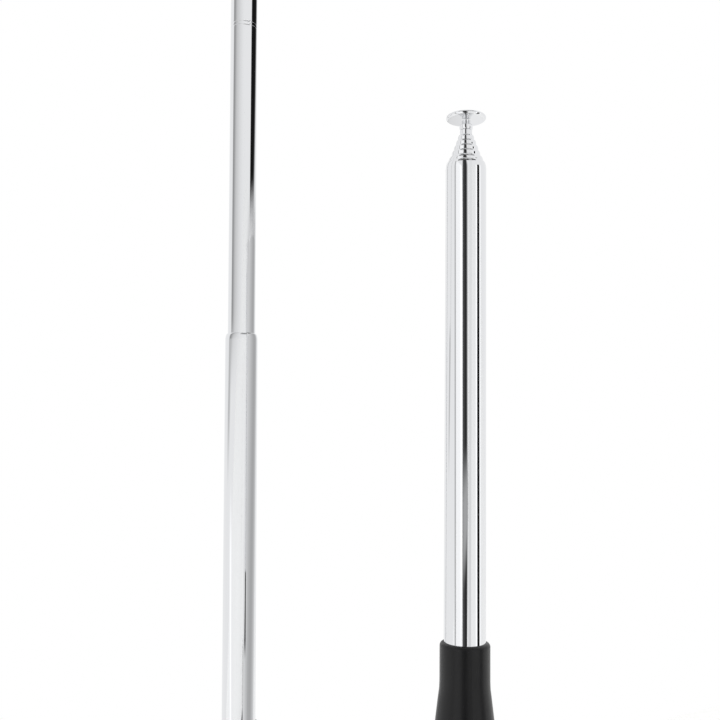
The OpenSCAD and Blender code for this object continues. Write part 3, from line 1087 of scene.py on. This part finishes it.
@dataclass
class Base:
    """The weighted base's shell, and the threaded socket at its back.

    Attributes:
        wardrobe: Where its materials come from.
        wall: Thickness of the shell's side.
        roof: Thickness of the shell's top.
        edge: Radius of the rounding along the shell's top.
        seam_height: Height of the fine line round the shell above its foot.
        seam: Width of that line.
        stem_bore: Radius of the holes that the swivel stems turn in.
        bush_radius: Radius of the socket's plain part, in the shell and the nut.
        bush_gap: Gap round it in the shell.
        socket_flange: Thickness of the socket's flange.
        socket_bore: Radius of the bore that the insulator stands in.
        contact_bore: Radius of the hole that the contact runs through.
        bore_floor: Height of that bore's floor.
        thread_radius: Radius over the thread's crests.
        thread_pitch: Pitch of the socket's thread.
        thread_depth: Depth of the socket's thread.
    """

    wardrobe: Wardrobe
    wall: float = 2.5 * MM
    roof: float = 3.0 * MM
    edge: float = 6.0 * MM
    seam_height: float = 6.0 * MM
    seam: float = 0.5 * MM
    stem_bore: float = 4.55 * MM
    bush_radius: float = 5.16 * MM
    bush_gap: float = 0.05 * MM
    socket_flange: float = 2.0 * MM
    socket_bore: float = 3.4 * MM
    contact_bore: float = 1.1 * MM
    bore_floor: float = 3.5 * MM
    thread_radius: float = 4.76 * MM
    thread_pitch: float = 0.794 * MM
    thread_depth: float = 0.3 * MM

    def stadium(self, inset: float, low: float, high: float) -> Object:
        """A solid with the base's outline drawn in, between two heights.

        Args:
            inset: How far inside the base's outline it keeps.
            low: Height of its foot.
            high: Height of its top.

        Returns:
            The solid, in edit mode.
        """
        corner_low, corner_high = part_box("base_shell")
        size = corner_high - corner_low
        shift = (size.x - size.y) / 2
        piece = begin(
            bpy.ops.mesh.primitive_cylinder_add,
            vertices=2 * ROUND,
            radius=size.y / 2 - inset,
            depth=high - low,
            location=(0, 0, (high + low) / 2),
            rotation=(0, 0, math.pi / (2 * ROUND)),
        )
        settle(piece, Matrix.Identity(4))
        bpy.ops.object.mode_set(mode="EDIT")
        for hand in (-1, 1):
            choose(piece, "VERT", lambda c, hand=hand: c.x * hand > 0)
            bpy.ops.transform.translate(value=(hand * shift, 0, 0))
        return piece

    def make_shell(self) -> None:
        """Makes the shell: rounded top, fine seam round its side, hollow and stem holes."""
        low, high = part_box("base_shell")
        shell = self.stadium(0.0, low.z, high.z)
        choose(shell, "EDGE", lambda c: c.z > high.z - TINY)
        bpy.ops.mesh.bevel(offset=self.edge, segments=14, profile=0.5)
        choose(shell, "EDGE", lambda c: c.z < low.z + TINY)
        bpy.ops.mesh.bevel(offset=0.5 * MM, segments=4, profile=0.5)
        close()
        seam_z = low.z + self.seam_height
        ring = self.stadium(-MM, seam_z, seam_z + self.seam)
        close()
        core = self.stadium(self.seam / 2, seam_z - MM, seam_z + self.seam + MM)
        close()
        cut(ring, core)
        cut(shell, ring)
        hollow = self.stadium(self.wall, low.z - MM, high.z - self.roof)
        choose(hollow, "EDGE", lambda c: c.z > high.z - self.roof - TINY)
        bpy.ops.mesh.bevel(offset=self.edge - self.wall, segments=6, profile=0.5)
        cut(shell, hollow)
        for side in Side:
            pivot = MastAxis.of(side).pivot
            place = Matrix.Translation((pivot.x, pivot.y, high.z - 4 * MM))
            cut(shell, prism(ROUND, self.stem_bore, 6 * MM, place, 0))
        body_low, body_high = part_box("socket_body")
        middle = (body_low + body_high) / 2
        place = across(Vector((middle.x, high.y - 2 * self.wall, middle.z)))
        cut(shell, prism(ROUND, self.bush_radius + self.bush_gap, 4 * self.wall, place, 0))
        smooth(shell)
        spark = self.wardrobe.get(SPARK_ABS)
        finish_piece(shell, "moulded_base_shell", spark, "base", ["base_shell"])

    def make_socket(self) -> None:
        """Turns the socket body with its thread, and makes its hexagon nut."""
        low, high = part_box("socket_body")
        nut_low, nut_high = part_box("socket_nut")
        middle = (low + high) / 2
        flange_r, flange = (high.x - low.x) / 2, self.socket_flange
        bore, pin, bed = self.socket_bore, self.contact_bore, self.bore_floor
        bush, major = self.bush_radius, self.thread_radius
        length = high.y - low.y
        free = nut_high.y - low.y
        outline = [(pin, 0), (flange_r, 0), (flange_r, flange), (bush, flange), (bush, free)]
        height = free
        while height + self.thread_pitch < length - 0.5 * MM:
            outline += [
                (major - self.thread_depth, height + 0.06 * MM),
                (major, height + self.thread_pitch * 0.42),
                (major, height + self.thread_pitch * 0.58),
                (major - self.thread_depth, height + self.thread_pitch - 0.06 * MM),
            ]
            height += self.thread_pitch
        outline += [(major - 0.5 * MM, length), (bore + 0.2 * MM, length)]
        outline += [(bore, length - 0.2 * MM), (bore, bed), (pin, bed)]
        body = turn(outline + [(pin, 0)])
        settle(body, across(Vector((middle.x, low.y, middle.z))))
        nickel = self.wardrobe.get(NICKEL)
        finish_piece(body, "nickel_socket_body", nickel, "base", ["socket_body"])
        corner = (nut_high.z - nut_low.z) / 2 / math.cos(math.pi / 6)
        depth = nut_high.y - nut_low.y
        place = across(Vector((middle.x, nut_low.y, middle.z)))
        nut = prism(6, corner, depth, place, 0.35 * MM)
        through = across(Vector((middle.x, nut_low.y - MM, middle.z)))
        cut(nut, prism(ROUND, bush, depth + 2 * MM, through, 0))
        smooth(nut)
        finish_piece(nut, "nickel_socket_nut", nickel, "base", ["socket_nut"])

    def build(self) -> None:
        """Makes the base's finer pieces."""
        self.make_shell()
        self.make_socket()


# ---- The studio ----

# How near a ramp's ends a card's outermost stops may lie, which keeps it clear past them.
RAMP_END = 1e-4


@dataclass(frozen=True)
class Card:
    """A glowing card beside one mast that only glossy rays see: it paints a light or dark reflection band on that
    mast, and no matt surface sees it.

    Bearings are in degrees round the mast, from the line to the camera, to the camera's right.

    Attributes:
        name: Its name.
        mast: The mast that it is for.
        sight: Bearing, from the other mast, of the line that the card lies on, so that the
            other mast meets only its edge. None stands it square at its reach.
        low: Lowest height along the mast, in millimetres.
        high: Greatest height along the mast, in millimetres.
        stops: Bearing at its low end, brightness and cover, from one edge to the other.
        upper: Bearings of its two edges at its high end.
        fade_low: How far up from its low end it fades in, in millimetres.
        fade_high: How far down from its high end it fades out, in millimetres.
        reach: Distance from the mast in millimetres, where sight is None.
    """

    name: str
    mast: Side
    sight: float | None
    low: float
    high: float
    stops: tuple[tuple[float, float, float], ...]
    upper: tuple[float, float]
    fade_low: float = 1.0
    fade_high: float = 1.0
    reach: float = 120.0

    @property
    def lower(self) -> tuple[float, float]:
        """Bearings of its two edges at its low end."""
        return self.stops[0][0], self.stops[-1][0]

    def stands(self) -> tuple[Vector, Vector, Vector, Callable[[float], float]]:
        """Works out the plane that the card lies on.

        Returns:
            A point of the plane level with the hinge, its level direction, its upright
            direction, and what turns a bearing at mid height into a distance along the level.
        """
        mast, other = MastAxis.of(self.mast), MastAxis.of(self.mast.other)
        facing, aside = Studio().around(mast)
        if self.sight is None:
            bearings = (*self.lower, *self.upper)
            middle = math.radians((min(bearings) + max(bearings)) / 2)
            out = facing * math.cos(middle) + aside * math.sin(middle)
            start = mast.pivot + out * self.reach * MM
            return (
                start,
                mast.direction.cross(out),
                mast.direction,
                lambda bearing: self.reach * MM * math.tan(math.radians(bearing) - middle),
            )
        rise = (mast.pivot - other.pivot).dot(mast.direction)
        start = other.pivot + other.direction * rise / other.direction.dot(mast.direction)
        gap = start + other.direction * (self.low + self.high) / 2 * MM - mast.pivot
        away = (gap.dot(facing), gap.dot(aside))
        line = (math.cos(math.radians(self.sight)), math.sin(math.radians(self.sight)))
        crossed = away[0] * line[1] - away[1] * line[0]

        def distance(bearing: float) -> float:
            """Works out how far along the line a bearing from the mast meets it.

            Args:
                bearing: The bearing in degrees.

            Returns:
                The distance in metres, from the other mast.
            """
            ray = (math.cos(math.radians(bearing)), math.sin(math.radians(bearing)))
            reach = crossed / (ray[0] * line[1] - ray[1] * line[0])
            return (ray[0] * reach - away[0]) * line[0] + (ray[1] * reach - away[1]) * line[1]

        level = facing * line[0] + aside * line[1]
        level = (level - other.direction * level.dot(other.direction)).normalized()
        return start, level, other.direction, distance

    def shade(self, ends: list[float], shares: list[float]) -> Material:
        """Makes its glow: its stops across it, fading at its low and high ends.

        Args:
            ends: Distances along the card's own width of its edges: both low, then both high.
            shares: Where each stop lies between its edges.

        Returns:
            The material.
        """
        material = blank_material(f"card_{self.name}")
        tree = material.node_tree
        coords = add_node(tree, "ShaderNodeTexCoord")
        split = add_node(tree, "ShaderNodeSeparateXYZ", None, {"Vector": coords.outputs["UV"]})
        across_it, up_it = split.outputs["X"], split.outputs["Y"]
        edges = [
            add_node(
                tree,
                "ShaderNodeMapRange",
                {"To Min": ends[k], "To Max": ends[k + 2]},
                {"Value": up_it},
            ).outputs["Result"]
            for k in (0, 1)
        ]
        share = add_node(
            tree,
            "ShaderNodeMapRange",
            None,
            {"Value": across_it, "From Min": edges[0], "From Max": edges[1]},
        )
        ramp = add_node(
            tree, "ShaderNodeValToRGB", None, {"Fac": share.outputs["Result"]}
        )
        top = max(glow for _, glow, _ in self.stops)
        bar = ramp.color_ramp
        rows = [(0.0, 0.0, 0.0), *zip(shares, *zip(*[(g / top, c) for _, g, c in self.stops]))]
        rows.append((1.0, 0.0, 0.0))
        while len(bar.elements) < len(rows):
            bar.elements.new(1.0)
        for element, (place, glow, cover) in zip(bar.elements, rows):
            element.position = place
            element.color = (glow, glow, glow, cover)
        height = self.high - self.low
        fades = [
            add_node(
                tree,
                "ShaderNodeMapRange",
                {"interpolation_type": "SMOOTHSTEP", "From Min": start, "From Max": end},
                {"Value": up_it},
            ).outputs["Result"]
            for start, end in ((0, self.fade_low / height), (1, 1 - self.fade_high / height))
        ]
        cover = ramp.outputs["Alpha"]
        for fade in fades:
            product = add_node(tree, "ShaderNodeMath", {"operation": "MULTIPLY"}, {0: cover})
            tree.links.new(fade, product.inputs[1])
            cover = product.outputs["Value"]
        glow = add_node(
            tree, "ShaderNodeEmission", {"Strength": top}, {"Color": ramp.outputs["Color"]}
        )
        clear = add_node(tree, "ShaderNodeBsdfTransparent")
        mixed = add_node(
            tree,
            "ShaderNodeMixShader",
            None,
            {0: cover, 1: clear.outputs["BSDF"], 2: glow.outputs["Emission"]},
        )
        add_node(tree, "ShaderNodeOutputMaterial", None, {"Surface": mixed.outputs["Shader"]})
        return material

    def build(self) -> None:
        """Stands the card where only reflections show it."""
        start, run, along, distance = self.stands()
        corners = [distance(b) for b in (*self.lower, *self.upper)]
        near, far = min(corners), max(corners)
        width = far - near
        ends = [(c - near) / width for c in corners]
        span = corners[1] - corners[0]
        shares = [(distance(bearing) - corners[0]) / span for bearing, _, _ in self.stops]
        shares = [min(max(share, RAMP_END), 1 - RAMP_END) for share in shares]
        middle = start + run * (near + far) / 2 + along * (self.low + self.high) / 2 * MM
        turned = Matrix((run, along, run.cross(along))).transposed().to_4x4()
        piece = begin(bpy.ops.mesh.primitive_plane_add, size=1)
        bpy.ops.transform.resize(value=(width, (self.high - self.low) * MM, 1))
        settle(piece, Matrix.Translation(middle) @ turned)
        hide_from_camera(piece, f"card_{self.name}", self.shade(ends, shares))


def hide_from_camera(piece: Object, name: str, material: Material) -> None:
    """Makes a stage piece show only in glossy reflections.

    Args:
        piece: The card.
        name: Its name.
        material: What it shines with.
    """
    piece.name = name
    piece.data.materials.append(material)
    piece.visible_camera = False
    piece.visible_diffuse = False
    piece.visible_shadow = False
    piece.visible_transmission = False


# Painted reflections: each card paints one light or dark band on a mast's chrome or boot, in place of the
# reflections of a camera, softboxes, a strip light, a table and a wall, none of which is there to be reflected.
CARDS = (
    # Painted reflection: a dark band near the right mast's front, in place of a dark camera and its gap between
    # softboxes, paling to the right.
    Card(
        "painted_dark_front_band",
        Side.RIGHT,
        24.0,
        -60,
        215,
        (
            (-12, 0.3, 1),
            (-8, 0.1, 1),
            (4, 0.03, 1),
            (12, 0.05, 1),
            (14, 0.5, 1),
            (16, 0.72, 1),
            (18, 0.9, 0),
        ),
        (-19, 10),
    ),
    # Painted reflection: a paler patch within that dark band.
    Card(
        "painted_pale_patch",
        Side.RIGHT,
        27.0,
        46,
        84,
        ((-11, 0.4, 1), (0, 0.46, 1), (12, 0.42, 1), (19, 0.75, 0)),
        (-13, 17),
        fade_low=14,
        fade_high=16,
    ),
    # Painted reflection of a big softbox to the left: a bright band, brightest beside the camera.
    Card(
        "painted_softbox_band",
        Side.RIGHT,
        -5.0,
        -160,
        190,
        ((-40, 1.18, 1), (-30, 1.16, 1), (-20, 1.2, 1), (-17, 1.36, 1), (-11, 1.36, 1)),
        (-55, -18),
    ),
    # Painted reflection: a thin grey line at that bright band's edge.
    Card(
        "painted_grey_edge_line",
        Side.RIGHT,
        -2.0,
        -160,
        190,
        ((-49, 0.9, 0), (-45, 0.42, 1), (-41, 0.6, 1), (-38, 0.9, 0)),
        (-66, -55),
    ),
    # Painted reflections: a narrow bright strip, a black line beside it and a bright strip beyond it.
    Card(
        "painted_bright_strip",
        Side.RIGHT,
        None,
        -160,
        186,
        ((63, 1.0, 0), (65, 1.34, 1), (77, 1.34, 1)),
        (55, 64),
        reach=120,
    ),
    Card(
        "painted_black_line",
        Side.RIGHT,
        None,
        -160,
        186,
        ((76.5, 0.01, 1), (92.5, 0.01, 1)),
        (63.5, 79),
        reach=116,
    ),
    Card(
        "painted_far_strip",
        Side.RIGHT,
        None,
        -160,
        186,
        ((91.5, 1.3, 1), (98, 1.25, 1), (108, 1.0, 0)),
        (78.5, 95),
        reach=118,
    ),
    # Painted reflection: a dark band low to the right, which only the boot sees.
    Card(
        "painted_boot_dark_band",
        Side.RIGHT,
        None,
        -240,
        20,
        ((16, 0.3, 0), (34, 0.0, 1), (78, 0.0, 1), (92, 0.3, 0)),
        (16, 92),
        fade_high=8,
        reach=60,
    ),
    # Painted reflection on the left mast: a dark band to its right, high up.
    Card(
        "painted_dark_band_high",
        Side.LEFT,
        182.0,
        176,
        270,
        (
            (58, 0.3, 0),
            (61, 0.01, 1),
            (84, 0.01, 1),
            (90, 0.05, 1),
            (98, 0.4, 1),
            (112, 0.85, 0),
        ),
        (66, 152),
        fade_low=18,
    ),
    # Painted reflection: the same dark band as a soft shade lower down.
    Card(
        "painted_soft_band_low",
        Side.LEFT,
        182.0,
        20,
        196,
        (
            (20, 0.95, 0),
            (34, 0.77, 1),
            (42, 0.66, 1),
            (50, 0.56, 1),
            (60, 0.48, 1),
            (70, 0.48, 1),
            (80, 0.55, 1),
            (92, 0.68, 1),
            (103, 0.8, 1),
            (114, 0.95, 0),
        ),
        (30, 144),
        fade_high=18,
    ),
    # Painted reflection: a pale card before the other boot, which paints over that boot's dark reflection in this
    # mast.
    Card(
        "painted_pale_cover",
        Side.LEFT,
        None,
        -120,
        66,
        ((22, 0.9, 0), (30, 0.84, 1), (40, 0.7, 1), (50, 0.58, 1), (60, 0.5, 0)),
        (22, 62),
        fade_high=6,
        reach=24,
    ),
    # Painted reflection: a dark line at the left of its upper half, paling towards its front.
    Card(
        "painted_left_line",
        Side.LEFT,
        255.0,
        126,
        480,
        (
            (-98, 0.8, 0.2),
            (-94, 0.5, 1),
            (-84, 0.34, 1),
            (-74, 0.45, 1),
            (-64, 0.6, 1),
            (-54, 0.71, 1),
            (-40, 0.78, 1),
            (-27, 0.87, 1),
            (-12, 0.94, 1),
            (6, 0.97, 0),
        ),
        (-98, 6),
        fade_low=34,
    ),
    # Painted reflection: a fainter dark line below the joint.
    Card(
        "painted_faint_line",
        Side.LEFT,
        None,
        100,
        160,
        ((-114, 0.9, 0), (-104, 0.6, 1), (-94, 0.6, 1), (-82, 0.9, 0)),
        (-100, -70),
        fade_low=30,
        fade_high=10,
        reach=80,
    ),
    # Painted reflection: a bright strip low on its left.
    Card(
        "low_strip",
        Side.LEFT,
        255.0,
        20,
        108,
        ((-66, 1.05, 0), (-54, 1.2, 1), (-46, 1.36, 1), (-40, 1.1, 1), (-30, 1.0, 0)),
        (-84, -50),
        fade_high=30,
    ),
)


@dataclass
class Studio:
    """White room, soft top light, the cards and rings that paint reflections on the masts, and the camera.

    Attributes:
        lens: Focal length for a 36 mm sensor, in millimetres.
        distance: Distance from the camera to the aimed point.
        azimuth: How far round the right mast the camera stands, in degrees.
        pitch: How far it looks up along the mast, in degrees.
        roll: Its roll about its own axis, in degrees.
        offset: How far the right mast stands to the right of the picture's middle.
        aim: Height along the right mast that the camera looks at.
        header_height: Height above the aimed point of the dark rings that paint dark reflection arcs on the tubes'
            mouths.
        header_bands: Nearest and farthest reach of each ring.
        header_bearings: Bearings of the rings' two ends.
        floor_size: Width of the floor.
        key_size: Width of the key light.
        key_power: Its power in watts.
        key_place: Where it hangs.
    """

    lens: float = 44.27
    distance: float = 172.6 * MM
    azimuth: float = 53.25
    pitch: float = 4.57
    roll: float = -0.68
    offset: float = 20.58 * MM
    aim: float = 103.75 * MM
    header_height: float = 440 * MM
    header_bands: tuple[tuple[float, float], ...] = ((0.17, 0.28), (0.34, 0.48))
    header_bearings: tuple[float, float] = (-56.0, 70.0)
    floor_size: float = 4.0
    key_size: float = 1.2
    key_power: float = 5.0
    key_place: tuple[float, float, float] = (-0.7, -0.9, 1.5)

    def camera_frame(self) -> tuple[Vector, Vector, Vector, Vector]:
        """Works out the camera from the right mast.

        Returns:
            Its place, and its right, up and forward directions.
        """
        mast = MastAxis.of(Side.RIGHT)
        along = mast.direction
        outward = Vector((along.z, 0, -along.x))
        azimuth, pitch, roll = (math.radians(a) for a in (self.azimuth, self.pitch, self.roll))
        level = Vector((0, 1, 0)) * math.cos(azimuth) - outward * math.sin(azimuth)
        forward = level * math.cos(pitch) + along * math.sin(pitch)
        up = along * math.cos(pitch) - level * math.sin(pitch)
        right = forward.cross(up)
        rolled_up = up * math.cos(roll) + right * math.sin(roll)
        rolled_right = right * math.cos(roll) - up * math.sin(roll)
        place = mast.at(self.aim) - forward * self.distance - rolled_right * self.offset
        return place, rolled_right, rolled_up, forward

    def around(self, mast: MastAxis) -> tuple[Vector, Vector]:
        """Works out which way the camera is from a mast, square to it.

        Args:
            mast: The mast's axis.

        Returns:
            The direction to the camera, and the direction to its right.
        """
        arm = self.camera_frame()[0] - mast.pivot
        facing = (arm - mast.direction * arm.dot(mast.direction)).normalized()
        return facing, mast.direction.cross(facing)

    def make_camera(self) -> None:
        """Stands the camera and makes it the scene's own."""
        place, right, up, forward = self.camera_frame()
        data = bpy.data.cameras.new("studio_camera")
        data.lens = self.lens
        data.clip_start, data.clip_end = 0.01, 50.0
        camera = bpy.data.objects.new("studio_camera", data)
        bpy.context.scene.collection.objects.link(camera)
        turned = Matrix((right, up, -forward)).transposed()
        camera.matrix_world = Matrix.Translation(place) @ turned.to_4x4()
        bpy.context.scene.camera = camera

    def make_headers(self) -> None:
        """Hangs dark glowing rings that only glossy rays see, which paint dark reflection arcs on each tube's
        mouth.
        """
        mast = MastAxis.of(Side.RIGHT)
        facing, aside = self.around(mast)
        first, last = (math.radians(b) for b in self.header_bearings)
        # A spin runs clockwise seen from its axis's end, so it starts at the last bearing.
        ray = facing * math.cos(last) + aside * math.sin(last)
        turned = Matrix((ray, mast.direction.cross(ray), mast.direction)).transposed().to_4x4()
        place = Matrix.Translation(mast.at(self.aim + self.header_height)) @ turned
        for number, (near, far) in enumerate(self.header_bands, 1):
            painted_ring = turn([(near, 0), (far, 0)], steps=ROUND // 2, sweep=last - first)
            settle(painted_ring, place)
            # Painted reflection: a dark grey glow that paints the arcs; the rings are no lamp.
            material = blank_material(f"header_{number}")
            tree = material.node_tree
            dark = add_node(tree, "ShaderNodeEmission", {"Color": linear("#2A2A2C")})
            add_node(tree, "ShaderNodeOutputMaterial", None, {"Surface": dark.outputs["Emission"]})
            hide_from_camera(painted_ring, f"header_{number}", material)

    def make_floor(self) -> None:
        """Lays a broad pale floor."""
        floor = begin(bpy.ops.mesh.primitive_plane_add, size=self.floor_size)
        settle(floor, Matrix.Identity(4))
        floor.name = "studio_floor"
        # Matt white paint: no highlight, so that the floor melts into the background.
        paint = MouldedPlastic("matt_white_paint", "#FDFDFC", 0.75, grain_mm=2.0, relief_mm=0.01)
        floor.data.materials.append(paint.build())

    def make_lights(self) -> None:
        """Sets the white room and the soft key that draws a shadow under the base."""
        scene = bpy.context.scene
        scene.view_settings.view_transform = "Standard"
        scene.world = bpy.data.worlds.new("white_room")
        scene.world.use_nodes = True
        tree = scene.world.node_tree
        tree.nodes.clear()
        room = add_node(
            tree, "ShaderNodeBackground", {"Color": (1.0, 1.0, 1.0, 1.0), "Strength": 1.0}
        )
        add_node(tree, "ShaderNodeOutputWorld", None, {"Surface": room.outputs["Background"]})
        data = bpy.data.lights.new("soft_key", "AREA")
        data.shape = "DISK"
        data.size = self.key_size
        data.energy = self.key_power
        key = bpy.data.objects.new("soft_key", data)
        scene.collection.objects.link(key)
        key.location = self.key_place
        key.rotation_euler = (-Vector(key.location)).to_track_quat("-Z", "Y").to_euler()
        key.visible_glossy = False

    def build(self) -> None:
        """Makes the room, its lights, cards and camera."""
        self.make_camera()
        self.make_floor()
        self.make_lights()
        self.make_headers()
        for card in CARDS:
            card.build()


def main() -> None:
    """Builds the studio, then the antenna from its base to its tips."""
    logging.basicConfig(level=logging.INFO, format="%(name)s: %(message)s")
    wardrobe = Wardrobe()
    Studio().build()
    wardrobe.dress_nodes()
    Base(wardrobe).build()
    for side in Side:
        axis = MastAxis.of(side)
        SwivelHead(axis, wardrobe).build()
        TelescopicMast(axis, wardrobe).build()


if __name__ == "__main__":
    main()
